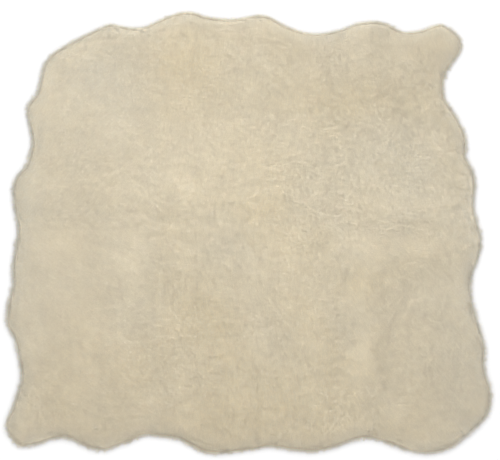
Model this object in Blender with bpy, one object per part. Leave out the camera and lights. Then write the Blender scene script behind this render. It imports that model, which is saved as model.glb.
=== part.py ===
"""Six-skin sheepskin rug, laid flat on the floor.

Blender 4.5, metres, +Z up, +Y to the rug's back edge. The origin is on the floor under the middle
of the rug. Six short-wool sheepskins lie in three columns and two rows. They meet edge to edge along
two long seams and a cross seam, and their outer edges keep the natural wavy outline of the skins.

Each skin is one solid: a flat hide, and on it the lumpy slab of its wool. The wool sinks a little at
the seams and creases, rolls down at the outer edge, and ends there in a row of pointed locks.
"""

import random
from typing import NamedTuple

import bmesh
import bpy
from mathutils import Vector, noise
from mathutils.geometry import interpolate_bezier, intersect_point_line

MM = 0.001

# Driving dimensions, in metres.
PILE_HEIGHT = 21 * MM  # floor to the mean top of the wool
HIDE_THICKNESS = 2 * MM
HIDE_INSET = 10 * MM  # from the edge of the wool slab back to the edge of the hide
SEAM_GAP = 0.32 * MM  # between two skins that are sewn together
CELL = 28 * MM  # spacing of the points on the wool's top

# The wool's top: broad lumps, small tufts, and soft troughs along seams and creases.
LUMP_SPACING = 150 * MM
LUMP_RISE = 3.2 * MM
TUFT_SPACING = 55 * MM
TUFT_RISE = 2.2 * MM
SEAM_DEPTH = 4 * MM
CREASE_DEPTH = 3 * MM
TROUGH_WIDTH = 36 * MM  # from the middle of a trough to its side

# The rim: how the wool rolls down to the floor, and the locks that stand out of it.
ROLL_WIDTH = 40 * MM
RIM_HEIGHT = 12 * MM  # top of the band that the locks grow from
RIM_FOOT = 0.8 * MM  # foot of that band, over the floor
RIM_ROWS = (15 * MM, 34 * MM)  # rows of points that follow the rim
LOCK_ROOT = 3 * MM  # from the outline back to the locks' roots
LOCK_LENGTH = (10 * MM, 18 * MM)
LOCK_LEAN = 3 * MM  # most that a lock's tip leans to one side
LOCK_TIP_HEIGHT = (1.5 * MM, 6 * MM)
LOCK_SHARE = (0.6, 0.74)  # how much of each stretch of rim its lock's root takes
LOCK_SEED = 6

CURVE_STEPS = 10  # points on a smooth curve from one knot to the next


class Knot(NamedTuple):
    """A point that an edge or a crease passes through, in millimetres from the rug's middle."""

    x: float
    y: float


# The natural outline, clockwise, as the reach of the dense wool. Each stretch is one outer edge of
# one skin. It starts at a corner or a seam's end and goes on to the next stretch's first knot.
OUTLINE = {
    "left_back": [
        Knot(-855, 55), Knot(-865, 120), Knot(-865, 170), Knot(-850, 210), Knot(-820, 245),
        Knot(-797, 320), Knot(-800, 375), Knot(-816, 445), Knot(-807, 480), Knot(-783, 502),
        Knot(-770, 540), Knot(-760, 590),
    ],
    "back_left": [
        Knot(-747, 628), Knot(-725, 656), Knot(-655, 700), Knot(-550, 752), Knot(-503, 768),
        Knot(-448, 755), Knot(-385, 757),
    ],
    "back_middle": [
        Knot(-330, 781), Knot(-263, 807), Knot(-210, 812), Knot(-152, 794), Knot(-50, 786),
        Knot(40, 801), Knot(80, 795), Knot(122, 768), Knot(180, 744), Knot(240, 731),
    ],
    "back_right": [
        Knot(300, 737), Knot(366, 755), Knot(411, 773), Knot(477, 777), Knot(522, 766),
        Knot(555, 744), Knot(600, 738), Knot(655, 749), Knot(710, 768), Knot(744, 751),
    ],
    "right_back": [
        Knot(780, 716), Knot(785, 680), Knot(752, 632), Knot(727, 590), Knot(716, 546),
        Knot(722, 498), Knot(751, 450), Knot(784, 394), Knot(803, 335), Knot(799, 280),
        Knot(821, 243), Knot(836, 190), Knot(829, 120),
    ],
    "right_front": [
        Knot(833, 72), Knot(858, -28), Knot(847, -91), Knot(821, -168), Knot(820, -231),
        Knot(833, -294), Knot(870, -424), Knot(868, -501), Knot(888, -564), Knot(896, -612),
        Knot(888, -657),
    ],
    "front_right": [
        Knot(862, -697), Knot(792, -760), Knot(747, -794), Knot(677, -812), Knot(611, -807),
        Knot(500, -768), Knot(448, -755), Knot(392, -762),
    ],
    "front_middle": [
        Knot(315, -790), Knot(244, -805), Knot(181, -801), Knot(70, -786), Knot(11, -799),
        Knot(-126, -812), Knot(-170, -805), Knot(-218, -779), Knot(-255, -759),
    ],
    "front_left": [
        Knot(-329, -749), Knot(-374, -742), Knot(-407, -753), Knot(-444, -773),
        Knot(-481, -781), Knot(-522, -799), Knot(-585, -794), Knot(-622, -777),
        Knot(-659, -757), Knot(-710, -755), Knot(-755, -771), Knot(-807, -783),
    ],
    "left_front": [
        Knot(-842, -788), Knot(-870, -764), Knot(-888, -731), Knot(-894, -701),
        Knot(-873, -664), Knot(-858, -620), Knot(-836, -548), Knot(-838, -498),
        Knot(-862, -387), Knot(-886, -350), Knot(-890, -313), Knot(-884, -261),
        Knot(-866, -191), Knot(-868, -131), Knot(-847, 13),
    ],
}

# Where the cross seam meets the long seams.
LEFT_JOINT = Knot(-337, 50)
RIGHT_JOINT = Knot(338, 50)

# Each seam from west to east or from south to north. It ends at joints, or at the first knot of
# the outline stretch that is named.
SEAMS = {
    "long_left_back": [LEFT_JOINT, Knot(-329, 416), "back_middle"],
    "long_left_front": ["front_left", Knot(-340, -250), LEFT_JOINT],
    "long_right_back": [RIGHT_JOINT, Knot(352, 230), Knot(318, 480), "back_right"],
    "long_right_front": ["front_middle", Knot(322, -480), Knot(342, -180), RIGHT_JOINT],
    "cross_left": ["left_back", Knot(-620, 62), LEFT_JOINT],
    "cross_middle": [LEFT_JOINT, Knot(0, 58), RIGHT_JOINT],
    "cross_right": [RIGHT_JOINT, Knot(590, 46), "right_front"],
}

# The main creases, where the wool parts and lies lower.
CREASES = [
    [Knot(-494, 507), Knot(-410, 470), Knot(-335, 448)],
    [Knot(-716, 100), Knot(-653, 66), Knot(-579, 92)],
    [Knot(-98, 455), Knot(0, 430), Knot(135, 425)],
    [Knot(98, 203), Knot(30, 170), Knot(-31, 122)],
    [Knot(-224, -55), Knot(-196, -150), Knot(-187, -248)],
    [Knot(-501, -377), Knot(-300, -384), Knot(-80, -372), Knot(142, -377)],
    [Knot(653, -692), Knot(700, -650), Knot(771, -599)],
]


class Skin(NamedTuple):
    """One sheepskin, the names of its four edges, and its wool's colour."""

    name: str
    south: str
    north: str
    west: str
    east: str
    wool: tuple[float, float, float]

    def edges(self) -> list[str]:
        return [self.south, self.north, self.west, self.east]


SKINS = [
    Skin("skin_back_left", "cross_left", "back_left", "left_back", "long_left_back",
         (0.64, 0.57, 0.44)),
    Skin("skin_back_middle", "cross_middle", "back_middle", "long_left_back", "long_right_back",
         (0.66, 0.59, 0.45)),
    Skin("skin_back_right", "cross_right", "back_right", "long_right_back", "right_back",
         (0.61, 0.54, 0.41)),
    Skin("skin_front_left", "front_left", "cross_left", "left_front", "long_left_front",
         (0.60, 0.53, 0.40)),
    Skin("skin_front_middle", "front_middle", "cross_middle", "long_left_front",
         "long_right_front", (0.61, 0.54, 0.40)),
    Skin("skin_front_right", "front_right", "cross_right", "long_right_front", "right_front",
         (0.58, 0.52, 0.39)),
]

# How long each skin's edges are, near enough to space the points along them.
SIDE_WIDTH = 530 * MM
MIDDLE_WIDTH = 665 * MM
BACK_DEPTH = 715 * MM
FRONT_DEPTH = 845 * MM


# ---------------------------------------------------------------- curves in plan


def in_metres(knot: Knot) -> Vector:
    return Vector((knot.x * MM, knot.y * MM, 0))


def smooth_path(knots: list[Vector], closed: bool = False) -> list[Vector]:
    """Points close together on the smooth curve through the knots."""
    count = len(knots)
    path = []
    for i in range(count if closed else count - 1):
        start, end = knots[i], knots[(i + 1) % count]
        before = knots[i - 1] if closed or i > 0 else start
        after = knots[(i + 2) % count] if closed or i + 2 < count else end
        reach = (end - start).length / 3
        leave = start + (end - before).normalized() * reach
        arrive = end - (after - start).normalized() * reach
        path += interpolate_bezier(start, leave, arrive, end, CURVE_STEPS + 1)[:-1]
    return path if closed else [*path, knots[-1]]


def moved_in(ring: list[Vector], distance: float) -> list[Vector]:
    """A closed clockwise path, moved to its inner side."""
    moved = []
    for before, point, after in zip([ring[-1], *ring], ring, [*ring[1:], ring[0]]):
        along = (after - before).normalized()
        moved.append(point + Vector((along.y, -along.x, 0)) * distance)
    return moved


def plan_edges() -> dict[str, list[Vector]]:
    """Every named edge as a close path, from west to east or from south to north."""
    knots = [in_metres(knot) for stretch in OUTLINE.values() for knot in stretch]
    ring = moved_in(smooth_path(knots, closed=True), LOCK_ROOT)
    ring.append(ring[0])
    edges, starts, passed = {}, {}, 0
    for name, stretch in OUTLINE.items():
        path = ring[passed:passed + len(stretch) * CURVE_STEPS + 1]
        passed += len(stretch) * CURVE_STEPS
        starts[name] = path[0]
        runs_clockwise = name.startswith(("back", "left"))
        edges[name] = path if runs_clockwise else path[::-1]
    for name, points in SEAMS.items():
        knots = [starts[point] if isinstance(point, str) else in_metres(point) for point in points]
        edges[name] = smooth_path(knots)
    return edges


def points_along(path: list[Vector], shares: list[float]) -> list[Vector]:
    """The points at these shares of the path's length, which rise from 0 to 1."""
    steps = [(b - a).length for a, b in zip(path, path[1:])]
    found, passed, i = [], 0.0, 0
    for share in shares:
        wanted = share * sum(steps)
        while i < len(steps) - 1 and passed + steps[i] < wanted:
            passed += steps[i]
            i += 1
        found.append(path[i].lerp(path[i + 1], min(1.0, (wanted - passed) / steps[i])))
    return found


def spaced(length: float, rim_first: bool, rim_last: bool) -> list[float]:
    """Shares of an edge at which rows of points cross it: two close to a rim, the others even."""
    rows = [row / length for row in RIM_ROWS]
    head = [0.0, *rows] if rim_first else [0.0]
    tail = [*(1 - row for row in reversed(rows)), 1.0] if rim_last else [1.0]
    between = tail[0] - head[-1]
    count = round(between * length / CELL)
    return [*head, *(head[-1] + between * i / count for i in range(1, count)), *tail]


# ---------------------------------------------------------------- heights of the wool


def distance_to(path: list[Vector], point: Vector) -> float:
    """Distance in plan from a point to a close path."""
    i = min(range(len(path)), key=lambda k: (path[k] - point).length_squared)
    nearest = (path[i] - point).length
    for start, end in zip(path[max(i - 1, 0):i + 1], path[max(i, 1):i + 2]):
        foot, share = intersect_point_line(point, start, end)
        if 0 < share < 1:
            nearest = min(nearest, (foot - point).length)
    return nearest


class Relief:
    """Height of the wool's top over the floor, from the edges and creases near one skin."""

    def __init__(self, skin: Skin, edges: dict[str, list[Vector]]):
        self.rims = [edges[name] for name in skin.edges() if name in OUTLINE]
        self.seams = [edges[name] for name in skin.edges() if name in SEAMS]
        self.creases = [smooth_path([in_metres(knot) for knot in knots]) for knots in CREASES]

    @staticmethod
    def trough(paths: list[list[Vector]], point: Vector, depth: float) -> float:
        """How far a point lies down in the nearest of these troughs."""
        beside = min(distance_to(path, point) for path in paths)
        return depth * max(0.0, 1 - beside / TROUGH_WIDTH) ** 2

    def height(self, point: Vector) -> float:
        lumps = noise.noise(point / LUMP_SPACING) * LUMP_RISE
        tufts = noise.noise(point / TUFT_SPACING) * TUFT_RISE
        top = PILE_HEIGHT + lumps + tufts
        top -= max(self.trough(self.seams, point, SEAM_DEPTH),
                   self.trough(self.creases, point, CREASE_DEPTH))
        inside = min(distance_to(rim, point) for rim in self.rims)
        roll = max(0.0, 1 - inside / ROLL_WIDTH)
        return RIM_HEIGHT + (top - RIM_HEIGHT) * (1 - roll**2) ** 0.5


# ---------------------------------------------------------------- one skin


def fill_between(sides: dict[str, list[Vector]], across: list[float], deep: list[float]):
    """Rows of points that fill the plan between four edges, the south row first."""
    south, north = points_along(sides["south"], across), points_along(sides["north"], across)
    west, east = points_along(sides["west"], deep), points_along(sides["east"], deep)
    rows = []
    for j, v in enumerate(deep):
        row = []
        for i, u in enumerate(across):
            from_rows = south[i].lerp(north[i], v)
            from_columns = west[j].lerp(east[j], u)
            from_corners = south[0].lerp(south[-1], u).lerp(north[0].lerp(north[-1], u), v)
            row.append(from_rows + from_columns - from_corners)
        rows.append(row)
    return rows


def leave_seam_gaps(rows: list[list[Vector]], skin: Skin) -> None:
    """Draws each sewn edge back by half the gap, so that two skins never touch."""
    half = SEAM_GAP / 2
    for row in rows:
        row[0].x += half if skin.west in SEAMS else 0
        row[-1].x -= half if skin.east in SEAMS else 0
    for first, last in zip(rows[0], rows[-1]):
        first.y += half if skin.south in SEAMS else 0
        last.y -= half if skin.north in SEAMS else 0


def square_to_rim(rows: list[list[Vector]], i: int, j: int) -> Vector:
    """The way in from an edge point of the grid, square to the edge there."""
    last, last_row = len(rows[0]) - 1, len(rows) - 1
    if i in (0, last) and j in (0, last_row):
        neighbours = [rows[j][abs(i - 1)], rows[abs(j - 1)][i]]
    elif i in (0, last):
        neighbours = [rows[j - 1][i], rows[j + 1][i]]
    else:
        neighbours = [rows[j][i - 1], rows[j][i + 1]]
    along = (neighbours[1] - neighbours[0]).normalized()
    across = Vector((-along.y, along.x, 0))
    middle = rows[last_row // 2][last // 2]
    return across if across.dot(middle - rows[j][i]) > 0 else -across


class SkinMesh:
    """Builds one skin's closed mesh, from its top down to its hide."""

    def __init__(self, skin: Skin, edges: dict[str, list[Vector]], dice: random.Random):
        self.skin = skin
        self.dice = dice
        self.bm = bmesh.new()
        self.inward = self.bm.verts.layers.float_vector.new("inward")  # way in from the rim
        self.on_seam = self.bm.verts.layers.int.new("on_seam")
        self.lay_top(edges)
        lock_edges = self.divide_rim()
        roots = self.close_below(lock_edges)
        self.grow_locks(roots)

    def lay_top(self, edges: dict[str, list[Vector]]) -> None:
        """Lays a grid over the skin's plan, at the wool's height, and marks its edges."""
        skin = self.skin
        sides = {side: edges[getattr(skin, side)] for side in ("south", "north", "west", "east")}
        west_rim, east_rim = skin.west in OUTLINE, skin.east in OUTLINE
        south_rim, north_rim = skin.south in OUTLINE, skin.north in OUTLINE
        across = spaced(SIDE_WIDTH if west_rim or east_rim else MIDDLE_WIDTH, west_rim, east_rim)
        deep = spaced(BACK_DEPTH if north_rim else FRONT_DEPTH, south_rim, north_rim)
        rows = fill_between(sides, across, deep)
        leave_seam_gaps(rows, skin)

        last, last_row = len(across) - 1, len(deep) - 1
        bmesh.ops.create_grid(self.bm, x_segments=last, y_segments=last_row, size=1)
        verts = sorted(self.bm.verts, key=lambda v: (round(v.co.y, 5), round(v.co.x, 5)))
        relief = Relief(skin, edges)
        for k, vert in enumerate(verts):
            j, i = divmod(k, last + 1)
            point = rows[j][i]
            vert.co = (point.x, point.y, relief.height(point))
            step_i = (i == 0 and west_rim) - (i == last and east_rim)
            step_j = (j == 0 and south_rim) - (j == last_row and north_rim)
            on_seam = (
                (i == 0 and not west_rim) or (i == last and not east_rim)
                or (j == 0 and not south_rim) or (j == last_row and not north_rim)
            )
            vert[self.on_seam] = on_seam
            if on_seam:
                vert[self.inward] = (rows[j + step_j][i + step_i] - point).normalized()
            elif step_i or step_j:
                vert[self.inward] = square_to_rim(rows, i, j)

    def divide_rim(self) -> list[bmesh.types.BMEdge]:
        """Divides each edge of the rim in two and gives the longer ones, where locks root."""
        rim = [e for e in self.bm.edges
               if e.is_boundary and all(v[self.inward].length > 0 for v in e.verts)]
        for edge in rim:
            start, end = edge.verts
            share = self.dice.uniform(*LOCK_SHARE)
            way_in = start[self.inward].lerp(end[self.inward], share).normalized()
            _, vert = bmesh.utils.edge_split(edge, start, share)
            vert[self.inward] = way_in
            vert[self.on_seam] = 0
        return rim

    def extrude(self, ring: list[bmesh.types.BMEdge], place) -> list[bmesh.types.BMEdge]:
        """Extrudes a ring of edges, moves each new point to its place, and gives the new ring."""
        made = bmesh.ops.extrude_edge_only(self.bm, edges=ring)["geom"]
        verts = {item for item in made if isinstance(item, bmesh.types.BMVert)}
        for vert in verts:
            vert.co = place(vert)
        return [item for item in made
                if isinstance(item, bmesh.types.BMEdge) and verts.issuperset(item.verts)]

    def close_below(self, lock_edges: list[bmesh.types.BMEdge]) -> list[bmesh.types.BMFace]:
        """Adds the rim band, the wool's overhang and the hide, and gives the locks' root faces."""

        def band_foot(vert):
            height = RIM_FOOT if vert[self.inward].length > 0 else RIM_HEIGHT / 2
            return Vector((vert.co.x, vert.co.y, height))

        def hide_top(vert):
            place = vert.co + vert[self.inward] * HIDE_INSET
            return Vector((place.x, place.y, HIDE_THICKNESS))

        def hide_bottom(vert):
            return Vector((vert.co.x, vert.co.y, 0))

        bm = self.bm
        top_faces = set(bm.faces)
        foot_ring = self.extrude([e for e in bm.edges if e.is_boundary], band_foot)
        roots = [face for e in lock_edges for face in e.link_faces if face not in top_faces]
        hide_ring = self.extrude(foot_ring, hide_top)
        bottom_ring = self.extrude(hide_ring, hide_bottom)
        bmesh.ops.contextual_create(bm, geom=bottom_ring)
        level_lines = [e for e in foot_ring + hide_ring if all(v[self.on_seam] for v in e.verts)]
        bmesh.ops.dissolve_edges(bm, edges=level_lines, use_verts=True)
        bmesh.ops.recalc_face_normals(bm, faces=bm.faces)
        return roots

    def grow_locks(self, roots: list[bmesh.types.BMFace]) -> None:
        """Draws each root face out to a point: a four-sided lock that lies outwards."""
        for face in roots:
            centre = face.calc_center_median()
            out = Vector((face.normal.x, face.normal.y, 0)).normalized()
            aside = Vector((-out.y, out.x, 0)) * self.dice.uniform(-LOCK_LEAN, LOCK_LEAN)
            tip = centre + out * self.dice.uniform(*LOCK_LENGTH) + aside
            tip.z = self.dice.uniform(*LOCK_TIP_HEIGHT)
            bmesh.ops.poke(self.bm, faces=[face])["verts"][0].co = tip

    def to_object(self) -> bpy.types.Object:
        """Turns the mesh into an object with its origin under its own middle."""
        origin = middle_of([v.co for v in self.bm.verts])
        bmesh.ops.translate(self.bm, verts=self.bm.verts, vec=-origin)
        mesh = bpy.data.meshes.new(self.skin.name)
        self.bm.to_mesh(mesh)
        self.bm.free()
        mesh.materials.append(wool_material(self.skin))
        obj = bpy.data.objects.new(self.skin.name, mesh)
        obj.location = origin
        return obj


def wool_material(skin: Skin) -> bpy.types.Material:
    """The skin's undyed ivory wool."""
    material = bpy.data.materials.new(f"{skin.name}_wool")
    material.use_nodes = True
    shader = material.node_tree.nodes["Principled BSDF"]
    shader.inputs["Base Color"].default_value = (*skin.wool, 1)
    shader.inputs["Roughness"].default_value = 0.95
    shader.inputs["Metallic"].default_value = 0
    material.diffuse_color = (*skin.wool, 1)
    return material


# ---------------------------------------------------------------- the rug


def middle_of(points: list[Vector]) -> Vector:
    """The middle of the points' box in plan, on the floor."""
    x_values = [p.x for p in points]
    y_values = [p.y for p in points]
    return Vector(((min(x_values) + max(x_values)) / 2, (min(y_values) + max(y_values)) / 2, 0))


def main() -> None:
    for obj in list(bpy.data.objects):
        bpy.data.objects.remove(obj, do_unlink=True)
    rug = bpy.data.collections.new("sheepskin_rug")
    bpy.context.scene.collection.children.link(rug)
    edges = plan_edges()
    dice = random.Random(LOCK_SEED)
    for skin in SKINS:
        rug.objects.link(SkinMesh(skin, edges, dice).to_object())
    middle = middle_of([v.co + obj.location for obj in rug.objects for v in obj.data.vertices])
    for obj in rug.objects:
        obj.location -= middle


main()
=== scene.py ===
"""The looks of a sheepskin rug that is sewn from short-wool skins and lies flat on a pale floor.

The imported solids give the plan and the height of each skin. On them this script lays the underwool,
grows the wool's locks and the loose fringe round the rim, cuts the hides below, and sews the seams on
their flesh side. Everything is in metres, in the frame's own axes: +X to the right, +Y to the back
edge, +Z up.
"""

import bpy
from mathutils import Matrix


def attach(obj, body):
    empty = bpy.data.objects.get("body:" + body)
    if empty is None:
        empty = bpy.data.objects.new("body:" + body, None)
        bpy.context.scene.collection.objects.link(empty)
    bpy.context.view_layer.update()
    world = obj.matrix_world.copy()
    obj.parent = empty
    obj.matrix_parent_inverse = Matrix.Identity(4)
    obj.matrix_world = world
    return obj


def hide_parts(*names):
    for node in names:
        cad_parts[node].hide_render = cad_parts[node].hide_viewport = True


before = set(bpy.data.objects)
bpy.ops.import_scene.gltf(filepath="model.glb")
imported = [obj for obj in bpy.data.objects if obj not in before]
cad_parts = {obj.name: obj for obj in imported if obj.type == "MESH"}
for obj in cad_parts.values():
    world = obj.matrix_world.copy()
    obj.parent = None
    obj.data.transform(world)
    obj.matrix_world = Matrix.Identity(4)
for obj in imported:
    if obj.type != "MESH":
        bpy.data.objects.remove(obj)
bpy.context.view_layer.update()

import logging
import math
from dataclasses import dataclass, field, fields
from enum import Enum, IntEnum
from typing import Any

import bmesh
import bpy
from mathutils import Vector, noise
from mathutils.kdtree import KDTree

MM = 0.001
NO_GAP = 0.01 * MM  # points this near each other are one point
NO_DISTANCE = 0.1 * MM  # nothing is divided by a distance under this
NOISE_RANGE = (0.3, 0.7)  # nearly all the values of a noise texture lie between these
FACES_DOWN = -0.9  # the normal's Z of a face that looks straight down is under this
BAKE_MAP = "OFBake"
LOG = logging.getLogger("sheepskin_rug")

Colour = tuple[float, float, float]
Value = Any  # what an input takes: a plain value, or a socket to link
Socket = bpy.types.NodeSocket
BMesh = bmesh.types.BMesh
BMVert = bmesh.types.BMVert


class Face(Enum):
    """Where on the underwool something grows, as the name of a face attribute."""

    WOOL = "wool_face"
    RIM = "rim_face"


class Draw(IntEnum):
    """What a random number on each root is drawn for. The number sets the draws apart."""

    SHADE = 11
    SPIN = 12
    WIDTH = 13
    HEIGHT = 14


def heading(degrees: float) -> Vector:
    """The level direction at some angle from +X towards +Y."""
    return Vector((math.cos(math.radians(degrees)), math.sin(math.radians(degrees)), 0))


def mesh_of(bm: BMesh, name: str) -> bpy.types.Mesh:
    """Turns a BMesh into a mesh and frees it."""
    mesh = bpy.data.meshes.new(name)
    bm.to_mesh(mesh)
    bm.free()
    return mesh


def placed(name: str, data: bpy.types.ID) -> bpy.types.Object:
    """Puts a mesh, a light or a camera in the scene as an object at the origin."""
    made = bpy.data.objects.new(name, data)
    bpy.context.scene.collection.objects.link(made)
    return made


# ---------------------------------------------------------------- node trees


@dataclass
class Graph:
    """Adds nodes to one tree and links them.

    Attributes:
        tree: The node tree that is being built.
    """

    tree: bpy.types.NodeTree

    def add(self, kind: str, inputs: dict[Any, Any] | None = None, **settings: Any) -> bpy.types.Node:
        """Adds a node.

        Args:
            kind: Blender's name of the node's type.
            inputs: A value, or an output socket to link, for each input by name or number.
            settings: The node's own options.

        Returns:
            The new node.
        """
        node = self.tree.nodes.new(kind)
        for name, value in settings.items():
            setattr(node, name, value)
        for key, value in (inputs or {}).items():
            if isinstance(value, bpy.types.NodeSocket):
                self.tree.links.new(value, node.inputs[key])
            else:
                node.inputs[key].default_value = value
        return node

    def link(self, output: Socket, node: bpy.types.Node, name: str) -> None:
        """Links a value to one input of a node."""
        self.tree.links.new(output, node.inputs[name])

    def maths(self, operation: str, first: Value, second: Value = 0.0, third: Value = 0.0) -> Socket:
        """Adds a Math node and returns its value."""
        inputs = {0: first, 1: second, 2: third}
        return self.add("ShaderNodeMath", inputs, operation=operation).outputs[0]

    def vectors(self, operation: str, first: Value, second: Value = (0, 0, 0)) -> Socket:
        """Adds a Vector Math node and returns its vector."""
        return self.add("ShaderNodeVectorMath", {0: first, 1: second}, operation=operation).outputs[0]

    def scaled(self, vector: Value, factor: Value) -> Socket:
        """Adds a node that scales a vector and returns the result."""
        inputs = {"Vector": vector, "Scale": factor}
        return self.add("ShaderNodeVectorMath", inputs, operation="SCALE").outputs[0]

    def blended(self, factor: Value, first: Value, second: Value) -> Socket:
        """Adds a node that mixes two colours and returns the result."""
        colours = [(*value, 1) if isinstance(value, tuple) else value for value in (first, second)]
        inputs = {0: factor, 6: colours[0], 7: colours[1]}
        return self.add("ShaderNodeMix", inputs, data_type="RGBA").outputs[2]

    def ranged(self, value: Value, low: float, high: float, to_low: float, to_high: float) -> Socket:
        """Adds a Map Range node and returns its value."""
        inputs = {0: value, 1: low, 2: high, 3: to_low, 4: to_high}
        return self.add("ShaderNodeMapRange", inputs).outputs[0]

    def around_one(self, value: Value, most: float) -> Socket:
        """Turns noise into a factor that strays from 1 by no more than some share."""
        return self.ranged(value, *NOISE_RANGE, 1 - most, 1 + most)

    def cloud(self, place: Value, scale: Value, detail: float, roughness: float = 0.5,
              output: str = "Fac") -> Socket:
        """Adds a Noise Texture and returns its value, or its colour if that is asked for."""
        inputs = {"Vector": place, "Scale": scale, "Detail": detail, "Roughness": roughness}
        return self.add("ShaderNodeTexNoise", inputs).outputs[output]

    def parts(self, vector: Value) -> Any:
        """Adds a node that takes a vector apart and returns its outputs X, Y and Z."""
        return self.add("ShaderNodeSeparateXYZ", {0: vector}).outputs

    def joined(self, x: Value = 0.0, y: Value = 0.0, z: Value = 0.0) -> Socket:
        """Adds a node that puts a vector together and returns it."""
        return self.add("ShaderNodeCombineXYZ", {0: x, 1: y, 2: z}).outputs[0]

    def place(self) -> Socket:
        """Adds the object coordinates of a shaded point."""
        return self.add("ShaderNodeTexCoord").outputs["Object"]

    def carried(self, name: str, output: str = "Fac") -> Socket:
        """Adds a mesh attribute that a material reads."""
        return self.add("ShaderNodeAttribute", attribute_name=name).outputs[output]

    def spot(self) -> Socket:
        """Adds the position of a point in Geometry Nodes."""
        return self.add("GeometryNodeInputPosition").outputs[0]

    def bumped(self, shader: bpy.types.Node, height: Socket, bump: tuple[float, float],
               **more: Socket) -> None:
        """Gives a shader a bump from a height, with some strength and depth."""
        inputs = {"Strength": bump[0], "Distance": bump[1], "Height": height, **more}
        self.link(self.add("ShaderNodeBump", inputs).outputs[0], shader, "Normal")

    def dressed(self, geometry: Value, finish: Value) -> None:
        """Ends a Geometry Nodes tree: smooth shading, the material and the output."""
        smooth = self.add("GeometryNodeSetShadeSmooth", {"Geometry": geometry}).outputs[0]
        done = self.add("GeometryNodeSetMaterial", {"Geometry": smooth, "Material": finish}).outputs[0]
        self.add("NodeGroupOutput", {0: done})


def open_sockets(tree: bpy.types.NodeTree, way: str, sockets: dict[str, str]) -> None:
    """Gives a group its named inputs or outputs.

    Args:
        tree: The group.
        way: INPUT or OUTPUT.
        sockets: Each socket's name and the short name of its type, such as Float.
    """
    for name, kind in sockets.items():
        tree.interface.new_socket(name, in_out=way, socket_type=f"NodeSocket{kind}")


def run_tree(carrier: bpy.types.Object, tree: bpy.types.NodeTree, values: dict[str, Any],
             name: str) -> bpy.types.Object:
    """Runs a Geometry Nodes tree on an object and keeps the result as a plain mesh.

    Args:
        carrier: The object whose mesh goes in.
        tree: The tree to run.
        values: What each named input of the tree is set to.
        name: The name of the new object.

    Returns:
        A new object at the origin, with no modifier.
    """
    modifier = carrier.modifiers.new(name, "NODES")
    modifier.node_group = tree
    for item in tree.interface.items_tree:
        if item.item_type == "SOCKET" and item.in_out == "INPUT" and item.name in values:
            modifier[item.identifier] = values[item.name]
    depsgraph = bpy.context.evaluated_depsgraph_get()
    mesh = bpy.data.meshes.new_from_object(carrier.evaluated_get(depsgraph), depsgraph=depsgraph)
    carrier.modifiers.remove(modifier)
    mesh.name = name
    return placed(name, mesh)


# ---------------------------------------------------------------- finishes


def mottle_group() -> bpy.types.NodeTree:
    """Builds the shared group for soft uneven colour: broad patches with finer ones in them."""
    tree = bpy.data.node_groups.new("mottle", "ShaderNodeTree")
    open_sockets(tree, "INPUT", {"Broad": "Float", "Fine": "Float", "Share of Fine": "Float"})
    open_sockets(tree, "OUTPUT", {"Factor": "Float"})
    graph = Graph(tree)
    given = graph.add("NodeGroupInput").outputs
    place = graph.place()
    broad, fine = (graph.cloud(place, graph.maths("DIVIDE", 1.0, given[size]), 3.0, 0.55)
                   for size in ("Broad", "Fine"))
    inputs = {0: given["Share of Fine"], 2: broad, 3: fine}
    mixed = graph.add("ShaderNodeMix", inputs, data_type="FLOAT").outputs[0]
    graph.add("NodeGroupOutput", {"Factor": graph.ranged(mixed, *NOISE_RANGE, 0.0, 1.0)})
    return tree


@dataclass
class Finishes:
    """The rug's materials, each made once.

    Attributes:
        mottle: The node group for uneven colour that they share.
    """

    mottle: bpy.types.NodeTree = field(default_factory=mottle_group)

    def start(self, name: str,
              constants: dict[str, Any]) -> tuple[bpy.types.Material, Graph, bpy.types.Node]:
        """Starts a material.

        Args:
            name: The material's name.
            constants: Values for the shader's own sockets.

        Returns:
            The material, its graph and its Principled BSDF.
        """
        material = bpy.data.materials.new(name)
        material.use_nodes = True
        shader = material.node_tree.nodes["Principled BSDF"]
        for socket, value in constants.items():
            shader.inputs[socket].default_value = value
        return material, Graph(material.node_tree), shader

    def uneven(self, graph: Graph, broad: float, fine: float, share: float) -> Socket:
        """Places the shared group with its own sizes and returns its factor, from 0 to 1."""
        node = graph.add("ShaderNodeGroup", node_tree=self.mottle)
        for name, value in (("Broad", broad), ("Fine", fine), ("Share of Fine", share)):
            node.inputs[name].default_value = value
        return node.outputs["Factor"]


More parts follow.
